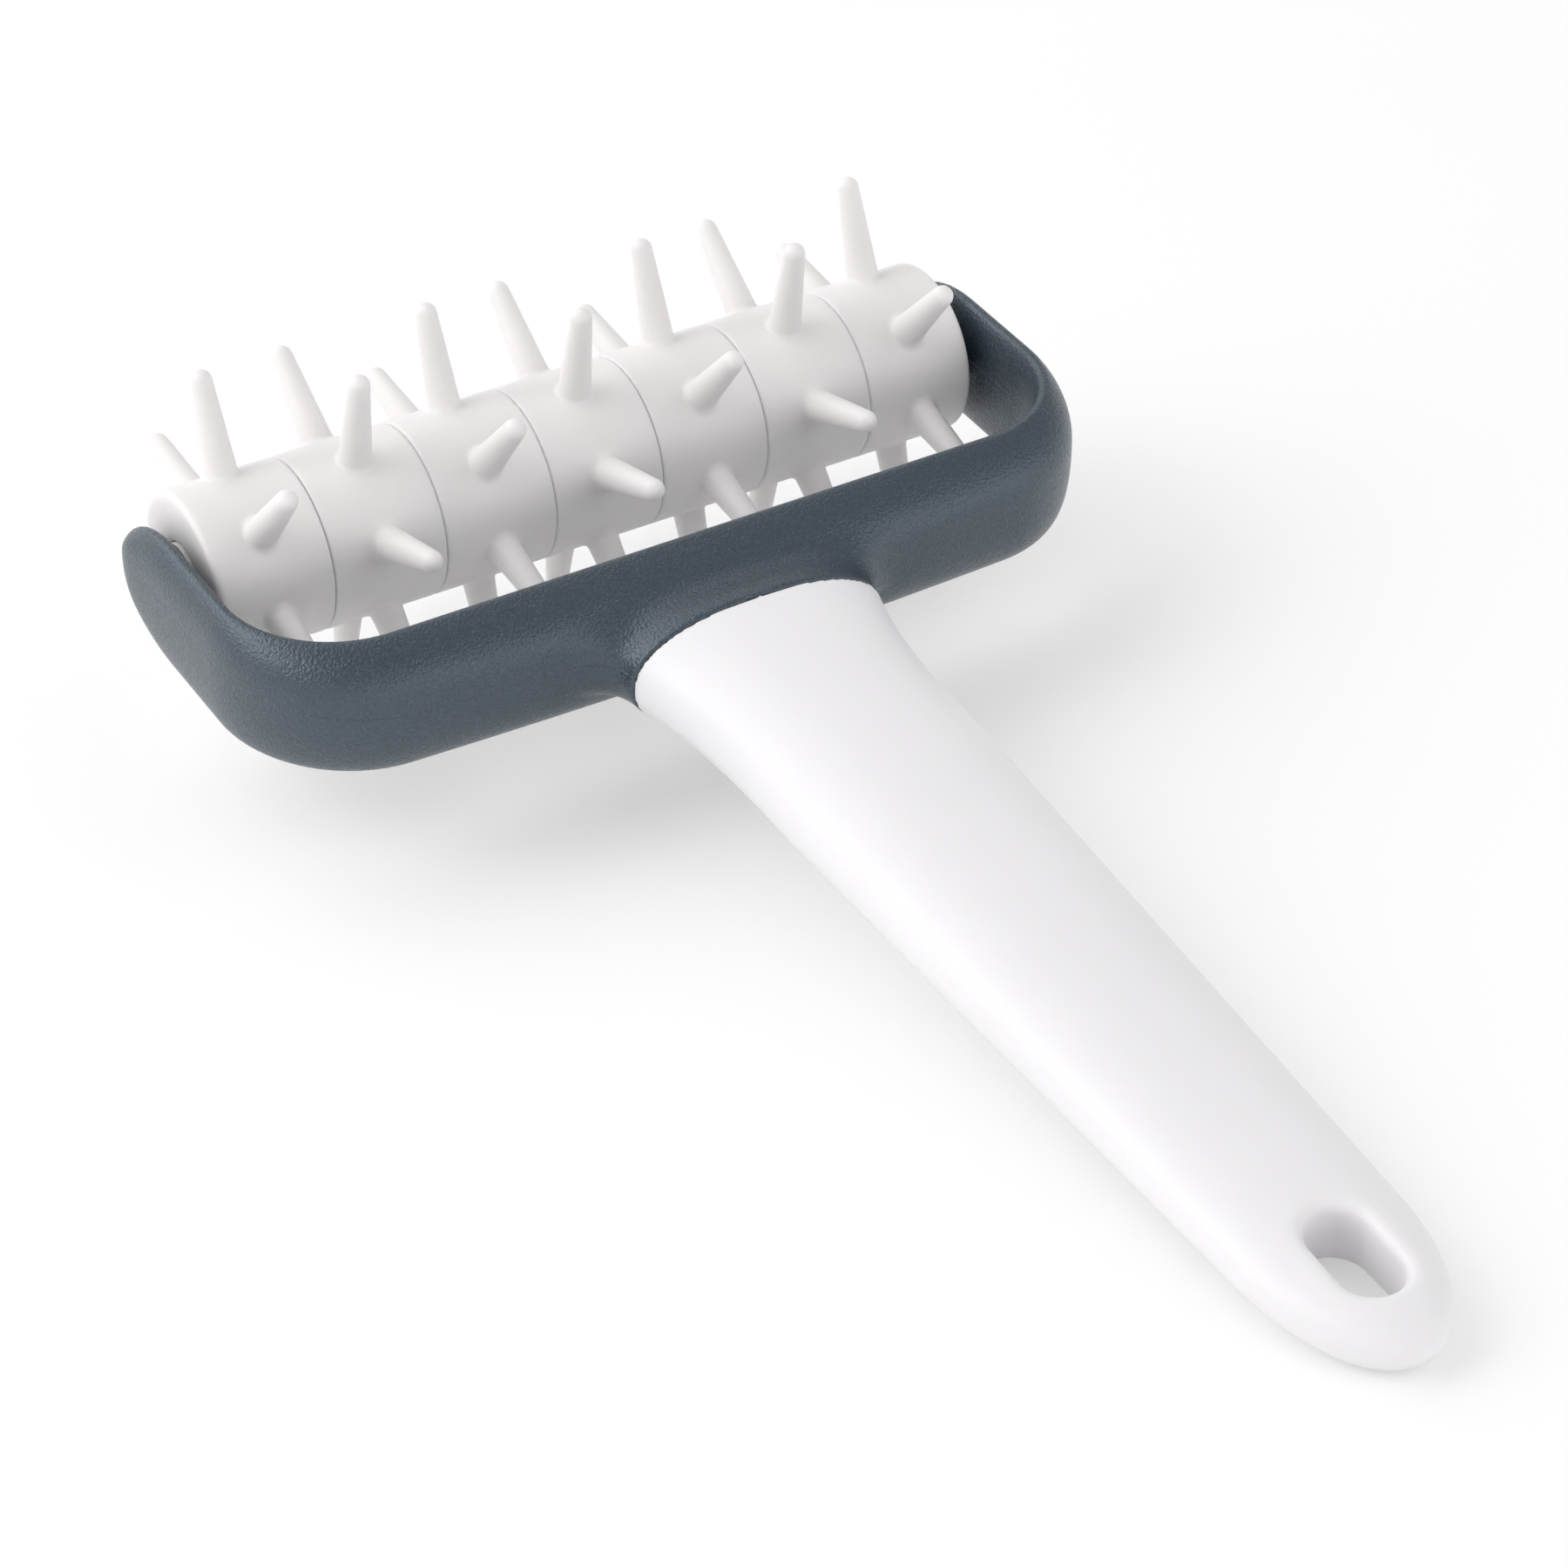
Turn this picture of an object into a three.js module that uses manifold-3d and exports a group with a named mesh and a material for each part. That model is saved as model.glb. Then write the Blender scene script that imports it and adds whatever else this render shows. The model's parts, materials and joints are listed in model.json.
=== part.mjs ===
// Dough docker: a roller of pinned discs that turns on a rod between the arms of a U-shaped yoke,
// with a tapered handle pushed on to the yoke's tang.
// Millimetres, +Z up. The part stands on its pins and on the end of its handle, with the floor at z = 0.
// X runs along the roller, and the roller is at the +Y end.
import * as THREE from "three";
import { mergeVertices } from "three/addons/utils/BufferGeometryUtils.js";
import Module from "manifold-3d";

const wasm = await Module();
wasm.setup();

// Clearances, and how far a cutter runs past the face that it cuts
const SEAT_GAP = 0.3;
const RUNNING_GAP = 0.15;
const CUT_OVERRUN = 1;

// Roller: discs with one ring of pins each
const DISC_COUNT = 7;
const DISC_LENGTH = 15.3;
const DISC_GAP = 0.2;
const DISC_RADIUS = 11.3;
const DISC_EDGE = 0.4;
const ROLLER_END_EDGE = 0.8;
const ROLLER_END_WALL = 1.2;
const PINS_PER_DISC = 6;
const PIN_REACH = 25;
const PIN_ROOT_RADIUS = 2.15;
const PIN_TIP_RADIUS = 1.35;
const PIN_SINK = 2;

// Rod, the two flanged bushes that run on it, and the hexagonal core that keys the discs
const ROD_RADIUS = 2;
const ROD_END_WALL = 1.5;
const BUSH_WALL = 1.2;
const BUSH_LENGTH = 9;
const BUSH_FLANGE_INSET = 0.7;
const CORE_WALL = 2;

// Yoke: two arms and a bar
const ARM_INNER_GAP = 1.6;
const ARM_THICKNESS = 3.9;
const ARM_TIP_MARGIN = 3.6;
const ARM_TAPER_LENGTH = 13.8;
const ARM_THINNING_LENGTH = 5.4;
const BOSS_RADIUS = 5.2;
const BOSS_HEIGHT = 1;
const BOSS_SINK = 1;
const BAY_GAP = 7;
const BAR_THICKNESS = 7.5;
const BAR_BOW = 2.6;
const YOKE_CORNER_RADIUS = 15.4;
const CREST_INSET = 1.8;

// Section of the arms and the bar: the parting line's height above the rod, the height and depth from that
// line, and the exponents that shape the sides
const PARTING_HEIGHT = 1.6;
const SHOULDER_HEIGHT = 7.2;
const BELLY_DEPTH = 10.6;
const SHOULDER_ACROSS = 1.7;
const SHOULDER_UP = 0.6;
const BELLY_ACROSS = 0.78;
const BELLY_UP = 0.85;
const INNER_SHARPNESS = 0.77;

// Neck between the bar and the handle, and the ribbed tang inside the handle
const NECK_LENGTH = 5.5;
const NECK_WIDTH = 35;
const NECK_HEIGHT = 16;
const NECK_FLARE = 9;
const NECK_ROOT_ANGLE = THREE.MathUtils.degToRad(45);
const NECK_FULLNESS = 0.45;
const NECK_SINK = 1;
const TANG_LENGTH = 46;
const TANG_ROOT = 2;
const TANG_TAPER = 0.75;
const TANG_SHARPNESS = 0.5;
const TANG_RIB_HEIGHT = 0.8;
const TANG_RIB_COUNT = 4;
const SOCKET_SIDE_WALL = 4.3;
const SOCKET_ROOF = 4.5;

// Handle
const HANDLE_LENGTH = 135;
const HANDLE_DROP = 0.65;
const WAIST_WIDTH = 28.6;
const FLARE_LENGTH = 30;
const END_WIDTH = 22;
const END_HEIGHT = 8.05;
const END_ROUNDING = 18.7;
const NOSE_LENGTH = 7;
const GRIP_SHARPNESS = 0.87;
const LAND_DEPTH = 0.35;
const HOLE_WIDTH = 7.5;
const HOLE_STRAIGHT = 5.6;
const HOLE_END_MARGIN = 6.6;
const HOLE_ROUNDING = 1.2;

// Facets
const DISC_SIDES = 40;
const EDGE_STEP = 0.6;
const PIN_SIDES = 10;
const TIP_STEPS = 3;
const BORE_SIDES = 20;
const RING_SIDES = 24;
const BAR_STEPS = 5;
const CORNER_STEPS = 8;
const ARM_STEPS = 10;
const NECK_STEPS = 7;
const TANG_SIDES = 16;
const RIB_STEPS = 4;
const GRIP_SIDES = 32;
const GRIP_STEPS = 28;
const LIP_STEPS = 3;
const END_LIMIT = 0.9995;
const MERGE_DISTANCE = 1e-4;

const WHITE = { color: 0xf1eff0, roughness: 0.42, metalness: 0 };
const PIN_WHITE = { color: 0xf4f3f2, roughness: 0.35, metalness: 0 };
const SLATE = { color: 0x4a5a66, roughness: 0.5, metalness: 0 };
const STEEL = { color: 0xb8bcc0, roughness: 0.3, metalness: 1 };

// Places along the roller, from its middle
const discPitch = DISC_LENGTH + DISC_GAP;
const stackHalf = (DISC_COUNT * discPitch - DISC_GAP) / 2;
const bushFace = stackHalf + SEAT_GAP;
const coreHalf = stackHalf - ROLLER_END_WALL - RUNNING_GAP;
const armInnerX = stackHalf + ARM_INNER_GAP;
const bossFaceX = armInnerX - BOSS_HEIGHT;
const rodSeatX = armInnerX + ARM_THICKNESS - ROD_END_WALL;
const rodHalf = rodSeatX - SEAT_GAP;

// Radii round the rod
const bushBore = ROD_RADIUS + RUNNING_GAP;
const bushRadius = bushBore + BUSH_WALL;
const coreBore = bushRadius + RUNNING_GAP;
const coreAcrossFlats = 2 * (coreBore + CORE_WALL);
const bushFlangeRadius = coreAcrossFlats / 2 - BUSH_FLANGE_INSET;
const pinSpacing = (2 * Math.PI) / PINS_PER_DISC;
const pinTurn = pinSpacing / 4;

// Places along the tool, from the rod
const armTipY = BOSS_RADIUS + ARM_TIP_MARGIN;
const armTaperY = armTipY - ARM_TAPER_LENGTH;
const armThinningY = armTipY - ARM_THINNING_LENGTH;
const barInnerY = -(PIN_REACH + BAY_GAP);
const barCrestY = barInnerY - CREST_INSET;
const seamY = barInnerY - BAR_THICKNESS - BAR_BOW - NECK_LENGTH;
const tangWidth = WAIST_WIDTH - 2 * SOCKET_SIDE_WALL;
const tangHeight = NECK_HEIGHT - 2 * SOCKET_ROOF;

const signedPower = (value, power) => Math.sign(value) * Math.abs(value) ** power;
const quarterArc = (t) => Math.sqrt(Math.max(0, 1 - t * t));
const easeToEnd = (t) => END_LIMIT * Math.sin((t * Math.PI) / 2);

// A closed body as a solid, with its faces turned outwards.
function solid(geometry) {
  const bare = geometry.clone();
  bare.deleteAttribute("normal");
  bare.deleteAttribute("uv");
  const merged = mergeVertices(bare, MERGE_DISTANCE);
  const vertProperties = merged.attributes.position.array;
  const triVerts = new Uint32Array(merged.index.array);
  const build = () => new wasm.Manifold(new wasm.Mesh({ numProp: 3, vertProperties, triVerts }));
  const made = build();
  if (made.volume() > 0) return made;
  triVerts.reverse();
  return build();
}

function geometryOf(body) {
  const { vertProperties, triVerts } = body.getMesh();
  return new THREE.BufferGeometry()
    .setAttribute("position", new THREE.BufferAttribute(vertProperties, 3))
    .setIndex(new THREE.BufferAttribute(triVerts, 1));
}

// A skin through rings of equal point counts, closed by a fan over each end ring.
function loft(rings) {
  const count = rings[0].length;
  const points = rings.flat();
  const index = [];
  for (let r = 0; r + 1 < rings.length; r++) {
    for (let k = 0; k < count; k++) {
      const a = r * count + k;
      const b = r * count + ((k + 1) % count);
      index.push(a, b, b + count, a, b + count, a + count);
    }
  }
  const closeEnd = (first, inwards) => {
    const centre = new THREE.Vector3();
    for (let k = 0; k < count; k++) centre.addScaledVector(points[first + k], 1 / count);
    points.push(centre);
    for (let k = 0; k < count; k++) {
      const pair = [first + k, first + ((k + 1) % count)];
      if (inwards) pair.reverse();
      index.push(points.length - 1, ...pair);
    }
  };
  closeEnd(0, true);
  closeEnd((rings.length - 1) * count, false);
  return new THREE.BufferGeometry().setFromPoints(points).setIndex(index);
}

// A profile of [radius, x] pairs turned about the X axis.
function turned(profile, sides) {
  const points = profile.map(([radius, along]) => new THREE.Vector2(radius, along));
  return new THREE.LatheGeometry(points, sides).rotateZ(-Math.PI / 2);
}

function roundBar(radius, from, to) {
  return turned([[0, from], [radius, from], [radius, to], [0, to]], BORE_SIDES);
}

// An outline carried along X between two places.
function alongX(shape, from, to) {
  const settings = { depth: to - from, bevelEnabled: false, curveSegments: BORE_SIDES };
  return new THREE.ExtrudeGeometry(shape, settings).rotateY(Math.PI / 2).translate(from, 0, 0);
}

function hexagon(acrossFlats) {
  const outline = new THREE.Shape();
  for (let k = 0; k < 6; k++) {
    const corner = new THREE.Vector2(acrossFlats / Math.sqrt(3), 0);
    corner.rotateAround(new THREE.Vector2(), (k * Math.PI) / 3);
    if (k === 0) outline.moveTo(corner.x, corner.y);
    else outline.lineTo(corner.x, corner.y);
  }
  return outline;
}

// One tapered pin with a round tip, standing on the axis and pointing up.
function pin() {
  const root = DISC_RADIUS - PIN_SINK;
  const tipCentre = PIN_REACH - PIN_TIP_RADIUS;
  const slope = (PIN_ROOT_RADIUS - PIN_TIP_RADIUS) / (tipCentre - DISC_RADIUS);
  const profile = [
    new THREE.Vector2(0, root),
    new THREE.Vector2(PIN_ROOT_RADIUS + slope * PIN_SINK, root),
  ];
  for (let k = 0; k < TIP_STEPS; k++) {
    const tip = new THREE.Vector2(PIN_TIP_RADIUS, 0);
    tip.rotateAround(new THREE.Vector2(), ((k / TIP_STEPS) * Math.PI) / 2);
    profile.push(tip.add(new THREE.Vector2(0, tipCentre)));
  }
  profile.push(new THREE.Vector2(0, PIN_REACH));
  return new THREE.LatheGeometry(profile, PIN_SIDES).rotateX(Math.PI / 2);
}

// How a disc ends: open to its neighbour, or with a wall over the core at an end of the roller.
const SEAM_END = { edge: DISC_EDGE, wall: 0 };
const ROLLER_END = { edge: ROLLER_END_EDGE, wall: ROLLER_END_WALL };

// A disc with its pins, which stand a quarter of their spacing off the hexagon's own symmetry.
// A neighbour that is turned end for end then has its pins half a spacing on.
function pinDisc(lowEnd, highEnd) {
  const half = DISC_LENGTH / 2;
  const rim = ({ edge }, side) => {
    const points = [];
    const steps = Math.ceil(edge / EDGE_STEP);
    for (let k = 0; k <= steps; k++) {
      const angle = ((k / steps) * Math.PI) / 2;
      const inwards = edge * (1 - Math.sin(angle));
      points.push([DISC_RADIUS - inwards, side * (half - edge * (1 - Math.cos(angle)))]);
    }
    return points;
  };
  const profile = [[0, -half], ...rim(lowEnd, -1), ...rim(highEnd, 1).reverse(), [0, half]];
  let body = solid(turned(profile, DISC_SIDES));
  for (let k = 0; k < PINS_PER_DISC; k++) {
    body = body.add(solid(pin().rotateX(k * pinSpacing - pinTurn)));
  }
  const keyway = hexagon(coreAcrossFlats + 2 * RUNNING_GAP);
  const keywayEnd = ({ wall }) => (wall > 0 ? half - wall : half + CUT_OVERRUN);
  body = body.subtract(solid(alongX(keyway, -keywayEnd(lowEnd), keywayEnd(highEnd))));
  // The bush's flange stands in the round hole of an end wall.
  const flangeHole = roundBar(bushFlangeRadius + RUNNING_GAP, -half - CUT_OVERRUN, half + CUT_OVERRUN);
  return geometryOf(body.subtract(solid(flangeHole)));
}

function hexCore() {
  const outline = hexagon(coreAcrossFlats);
  outline.holes.push(new THREE.Path().absarc(0, 0, coreBore, 0, 2 * Math.PI, true));
  return alongX(outline, -coreHalf, coreHalf);
}

// A bush for the +X end, with its flange over the end of the core.
function endBush() {
  const inner = bushFace - BUSH_LENGTH;
  const flangeBack = coreHalf + RUNNING_GAP;
  return turned(
    [
      [bushBore, inner],
      [bushRadius, inner],
      [bushRadius, flangeBack],
      [bushFlangeRadius, flangeBack],
      [bushFlangeRadius, bushFace],
      [bushBore, bushFace],
      [bushBore, inner],
    ],
    BORE_SIDES,
  );
}

// The outer side of the section at an angle from level: how far out from the crest line and up from the rod,
// and the direction square to it. It slopes down from the crest as a shoulder, is widest at the parting line
// and is full below that.
function outerSide(angle, reach) {
  const level = Math.cos(angle);
  const rise = Math.sin(angle);
  const above = rise >= 0;
  const acrossPower = above ? SHOULDER_ACROSS : BELLY_ACROSS;
  const upPower = above ? SHOULDER_UP : BELLY_UP;
  const height = above ? SHOULDER_HEIGHT : BELLY_DEPTH;
  const normal = new THREE.Vector2(
    (upPower * signedPower(level, 2 - acrossPower)) / reach,
    (acrossPower * signedPower(rise, 2 - upPower)) / height,
  ).normalize();
  const across = reach * signedPower(level, acrossPower);
  return { across, up: PARTING_HEIGHT + height * signedPower(rise, upPower), normal };
}

// The inner side, which is shallow and rounds over to the crest.
function innerSide(angle) {
  const rise = Math.sin(angle);
  const height = rise >= 0 ? SHOULDER_HEIGHT : BELLY_DEPTH;
  const across = CREST_INSET * signedPower(Math.cos(angle), INNER_SHARPNESS);
  return { across, up: PARTING_HEIGHT + height * signedPower(rise, INNER_SHARPNESS) };
}

// The section at a place on the crest line.
function yokeRing(place, outward, outerReach, taper) {
  const ring = [];
  for (let k = 0; k < RING_SIDES; k++) {
    const angle = (k / RING_SIDES) * 2 * Math.PI;
    const { across, up } = Math.cos(angle) >= 0 ? outerSide(angle, outerReach) : innerSide(angle);
    ring.push(new THREE.Vector3(place.x + outward.x * across, place.y + outward.y * across, up * taper));
  }
  return ring;
}

// The yoke's crest line in plan: from the middle of the bar, round the corner, to the tip of an arm.
function crestLine() {
  const armX = armInnerX + CREST_INSET;
  const cornerX = armX - YOKE_CORNER_RADIUS;
  const cornerY = barCrestY + YOKE_CORNER_RADIUS;
  const line = new THREE.Path();
  line.moveTo(0, barCrestY);
  line.lineTo(cornerX, barCrestY);
  line.absarc(cornerX, cornerY, YOKE_CORNER_RADIUS, -Math.PI / 2, 0);
  line.lineTo(armX, armTipY);
  return line;
}

// How far the bar reaches behind its crest line, most at the middle.
function barReach(x) {
  const outwards = Math.min(1, Math.abs(x) / armInnerX);
  return BAR_THICKNESS - CREST_INSET + BAR_BOW * (1 - outwards * outwards);
}

function yokeRings() {
  const [bar, corner, arm] = crestLine().curves;
  const stations = [];
  for (let k = 0; k < BAR_STEPS; k++) stations.push([bar, k / BAR_STEPS]);
  for (let k = 0; k < CORNER_STEPS; k++) stations.push([corner, k / CORNER_STEPS]);
  for (let k = 0; k <= ARM_STEPS; k++) stations.push([arm, easeToEnd(k / ARM_STEPS)]);
  const half = stations.map(([curve, t]) => {
    const place = curve.getPoint(t);
    const along = curve.getTangent(t);
    const outward = new THREE.Vector2(along.y, -along.x);
    const taper = Math.max(0, (place.y - armTaperY) / ARM_TAPER_LENGTH);
    const thinning = Math.max(0, (place.y - armThinningY) / ARM_THINNING_LENGTH);
    const armShare = outward.x * outward.x;
    const reach = THREE.MathUtils.lerp(barReach(place.x), ARM_THICKNESS - CREST_INSET, armShare);
    return yokeRing(place, outward, reach * quarterArc(thinning), quarterArc(taper));
  });
  const mirrored = half.slice(1).map((ring) => ring.map((p) => new THREE.Vector3(-p.x, p.y, p.z)));
  return [...mirrored.reverse(), ...half];
}

// An oval ring across the tool's length, with its own top and bottom heights.
function ovalRing(y, halfWidth, top, bottom, sides, sharpness) {
  const ring = [];
  const middle = (top + bottom) / 2;
  for (let k = 0; k < sides; k++) {
    const angle = (k / sides) * 2 * Math.PI;
    const across = halfWidth * signedPower(Math.cos(angle), sharpness);
    const up = ((top - bottom) / 2) * signedPower(Math.sin(angle), sharpness);
    ring.push(new THREE.Vector3(across, y, middle + up));
  }
  return ring;
}

// The neck: a hollow fillet that leaves the seam square and runs out along the back of the bar.
function neckRings() {
  const seamHalf = NECK_HEIGHT / 2;
  const seamRing = ovalRing(seamY, NECK_WIDTH / 2, seamHalf, -seamHalf, GRIP_SIDES, GRIP_SHARPNESS);
  const lines = seamRing.map((seam, k) => {
    const angle = (k / GRIP_SIDES) * 2 * Math.PI;
    const x = (NECK_WIDTH / 2 + NECK_FLARE) * signedPower(Math.cos(angle), GRIP_SHARPNESS);
    const slant = NECK_ROOT_ANGLE * signedPower(Math.sin(angle), GRIP_SHARPNESS);
    const { across, up, normal: slope } = outerSide(slant, barReach(x));
    const root = new THREE.Vector3(x, barCrestY - across, up);
    const normal = new THREE.Vector3(0, -slope.x, slope.y);
    const pull = NECK_FULLNESS * seam.distanceTo(root);
    const square = seam.clone().add(new THREE.Vector3(0, pull, 0));
    const runOut = seam.clone().sub(root).projectOnPlane(normal).setLength(pull).add(root);
    const sunk = root.clone().addScaledVector(normal, -NECK_SINK);
    return { bend: new THREE.CubicBezierCurve3(seam, square, runOut, root), sunk };
  });
  const rings = [];
  for (let k = 0; k <= NECK_STEPS; k++) rings.push(lines.map(({ bend }) => bend.getPoint(k / NECK_STEPS)));
  rings.push(lines.map(({ sunk }) => sunk));
  return rings;
}

// The ribbed tang or, with a clearance, the socket that takes it.
function tangRings(clearance) {
  const rings = [];
  const steps = TANG_RIB_COUNT * RIB_STEPS;
  for (let k = 0; k <= steps; k++) {
    const t = k / steps;
    const taper = THREE.MathUtils.lerp(1, TANG_TAPER, t);
    const rib = k % RIB_STEPS < RIB_STEPS / 2 ? 0 : TANG_RIB_HEIGHT;
    const halfWidth = (tangWidth / 2) * taper + rib + clearance;
    const halfHeight = (tangHeight / 2) * taper + rib + clearance;
    const distance = t * (TANG_LENGTH + TANG_ROOT + clearance) - TANG_ROOT;
    const { middle } = gripSection(distance);
    const top = middle + halfHeight;
    const bottom = middle - halfHeight;
    rings.push(ovalRing(seamY - distance, halfWidth, top, bottom, TANG_SIDES, TANG_SHARPNESS));
  }
  return rings;
}

function yoke() {
  let body = solid(loft(yokeRings())).add(solid(loft(neckRings())));
  body = body.add(solid(loft(tangRings(0))));
  for (const side of [-1, 1]) {
    const boss = roundBar(BOSS_RADIUS, side * bossFaceX, side * (armInnerX + BOSS_SINK));
    const rodSeat = roundBar(bushBore, side * (bossFaceX - CUT_OVERRUN), side * rodSeatX);
    body = body.add(solid(boss)).subtract(solid(rodSeat));
  }
  return geometryOf(body);
}

// The handle's half width and heights at a distance behind the seam.
function gripSection(distance) {
  const share = distance / HANDLE_LENGTH;
  const endStart = HANDLE_LENGTH - END_ROUNDING;
  const flare = Math.max(0, 1 - distance / FLARE_LENGTH) ** 3;
  const taper = Math.max(0, (distance - FLARE_LENGTH) / (endStart - FLARE_LENGTH));
  const width = WAIST_WIDTH + (NECK_WIDTH - WAIST_WIDTH) * flare + (END_WIDTH - WAIST_WIDTH) * taper;
  const height = THREE.MathUtils.lerp(NECK_HEIGHT, END_HEIGHT, share);
  const underside = -NECK_HEIGHT / 2 - HANDLE_DROP * share;
  const middle = underside + height / 2;
  const rounded = quarterArc(Math.max(0, (distance - endStart) / END_ROUNDING));
  const nose = quarterArc(Math.max(0, (distance - HANDLE_LENGTH + NOSE_LENGTH) / NOSE_LENGTH));
  return {
    halfWidth: (width / 2) * rounded,
    middle,
    top: middle + (height / 2) * nose,
    bottom: middle - (height / 2) * nose,
    land: underside + LAND_DEPTH,
  };
}

// The handle, with a narrow flat land along its underside.
function handle() {
  const rings = [];
  for (let k = 0; k <= GRIP_STEPS; k++) {
    const distance = THREE.MathUtils.lerp(SEAT_GAP, HANDLE_LENGTH, easeToEnd(k / GRIP_STEPS));
    const { halfWidth, top, bottom, land } = gripSection(distance);
    const ring = ovalRing(seamY - distance, halfWidth, top, bottom, GRIP_SIDES, GRIP_SHARPNESS);
    for (const p of ring) p.z = Math.max(p.z, land);
    rings.push(ring);
  }
  const body = solid(loft(rings)).subtract(solid(loft(tangRings(SEAT_GAP))));
  return geometryOf(body.subtract(solid(loft(hangingHoleRings()))));
}

// The hanging hole's cutter: a round-ended slot that opens in a rounded lip at the top and bottom.
function hangingHoleRings() {
  const centreDistance = HANDLE_LENGTH - HOLE_END_MARGIN - (HOLE_STRAIGHT + HOLE_WIDTH) / 2;
  const { top, bottom } = gripSection(centreDistance);
  const slotRing = (z, widening) => {
    const radius = HOLE_WIDTH / 2 + widening;
    const ring = [];
    for (let k = 0; k < BORE_SIDES; k++) {
      const angle = ((k + 0.5) / BORE_SIDES) * 2 * Math.PI;
      const along = radius * Math.sin(angle) + (HOLE_STRAIGHT / 2) * Math.sign(Math.sin(angle));
      ring.push(new THREE.Vector3(radius * Math.cos(angle), seamY - centreDistance + along, z));
    }
    return ring;
  };
  const lip = [];
  for (let k = 0; k <= LIP_STEPS; k++) {
    const t = k / LIP_STEPS;
    lip.push({ depth: HOLE_ROUNDING * t, widening: HOLE_ROUNDING * (1 - quarterArc(1 - t)) });
  }
  return [
    slotRing(bottom - CUT_OVERRUN, HOLE_ROUNDING),
    ...lip.map(({ depth, widening }) => slotRing(bottom + depth, widening)),
    ...lip.map(({ depth, widening }) => slotRing(top - depth, widening)).reverse(),
    slotRing(top + CUT_OVERRUN, HOLE_ROUNDING),
  ];
}

function mesh(name, geometry, finish) {
  const made = new THREE.Mesh(geometry, new THREE.MeshStandardMaterial(finish));
  made.name = name;
  return made;
}

// The roller stands on two rows of pins, each a quarter of a spacing from the lowest point.
const axleHeight = (PIN_REACH - PIN_TIP_RADIUS) * Math.cos(pinTurn) + PIN_TIP_RADIUS;

// The handle tips down about the rod until the first point under its end meets the floor.
const handleGeometry = handle();
const handlePoints = handleGeometry.attributes.position;
let pitch = Math.PI / 2;
for (let k = 0; k < handlePoints.count; k++) {
  const behind = -handlePoints.getY(k);
  const below = -handlePoints.getZ(k);
  const touching = Math.asin(axleHeight / Math.hypot(behind, below)) - Math.atan2(below, behind);
  pitch = Math.min(pitch, touching);
}

const held = new THREE.Group();
held.rotation.x = pitch;
held.add(
  mesh("yoke", yoke(), SLATE),
  mesh("handle", handleGeometry, WHITE),
  mesh("axle_rod", roundBar(ROD_RADIUS, -rodHalf, rodHalf), STEEL),
);

const roller = new THREE.Group();
roller.add(mesh("hex_core", hexCore(), WHITE));
for (const [side, turn] of [["right", 0], ["left", Math.PI]]) {
  const bush = mesh(side + "_end_bush", endBush(), WHITE);
  bush.rotation.z = turn;
  roller.add(bush);
}
for (let k = 0; k < DISC_COUNT; k++) {
  const turnedRound = k % 2 === 1;
  const ends = [k === 0 ? ROLLER_END : SEAM_END, k === DISC_COUNT - 1 ? ROLLER_END : SEAM_END];
  if (turnedRound) ends.reverse();
  const disc = mesh("pin_disc_" + (k + 1), pinDisc(...ends), PIN_WHITE);
  disc.position.x = (k - (DISC_COUNT - 1) / 2) * discPitch;
  disc.rotation.z = turnedRound ? Math.PI : 0;
  roller.add(disc);
}

const docker = new THREE.Group();
docker.add(held, roller);
docker.position.z = axleHeight;
const extent = new THREE.Box3().setFromObject(docker, true);
docker.position.y = -(extent.min.y + extent.max.y) / 2;

export default docker;
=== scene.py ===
"""Looks of a dough docker: a roller of pinned discs in a slate yoke, with a white handle.

Each moulding starts as numpy skins in the tool's own frame: metres, with the rod along X through the
origin and the handle level. The skins are fused into one surface there, which is then turned to the
tool's pitch and moved to the rod's place.
"""

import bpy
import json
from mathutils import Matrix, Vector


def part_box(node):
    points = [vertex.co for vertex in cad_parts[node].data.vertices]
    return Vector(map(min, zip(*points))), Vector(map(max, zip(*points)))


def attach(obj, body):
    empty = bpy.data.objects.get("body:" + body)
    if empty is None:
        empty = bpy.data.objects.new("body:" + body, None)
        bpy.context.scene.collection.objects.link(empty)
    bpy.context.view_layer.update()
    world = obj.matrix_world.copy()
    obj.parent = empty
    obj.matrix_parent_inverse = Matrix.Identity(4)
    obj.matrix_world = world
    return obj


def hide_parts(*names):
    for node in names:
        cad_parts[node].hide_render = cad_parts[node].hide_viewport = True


bl_info = {
    "name": "Dough Docker",
    "version": (1, 0, 0),
    "blender": (4, 5, 0),
    "location": "3D View > Sidebar > Docker",
    "description": "Builds the mouldings, finishes and stage of a dough docker round its packed frame",
    "category": "Object",
}

import json
import math

import bpy
import numpy as np
from bpy.props import FloatProperty, FloatVectorProperty, IntProperty, PointerProperty
from mathutils import Matrix, Vector

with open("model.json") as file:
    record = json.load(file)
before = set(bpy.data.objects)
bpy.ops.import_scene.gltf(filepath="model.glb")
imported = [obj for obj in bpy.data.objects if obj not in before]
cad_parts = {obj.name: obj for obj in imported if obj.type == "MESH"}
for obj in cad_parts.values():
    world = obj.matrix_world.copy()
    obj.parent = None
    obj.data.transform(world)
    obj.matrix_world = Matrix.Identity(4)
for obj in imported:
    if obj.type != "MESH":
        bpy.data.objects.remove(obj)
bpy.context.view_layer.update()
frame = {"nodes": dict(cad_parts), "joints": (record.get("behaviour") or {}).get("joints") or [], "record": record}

MM = 0.001
DISC_NAMES = sorted(name for name in frame["nodes"] if name.startswith("pin_disc_"))
MOUNTS = {mount["name"]: mount for mount in frame["record"]["mounts"]}
AXLE = np.array(frame["joints"][0]["pos_m"])
SLOT_AXIS = MOUNTS["hanging_slot_top"]["axis"]
PITCH = math.atan2(-SLOT_AXIS[1], SLOT_AXIS[2])
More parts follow.
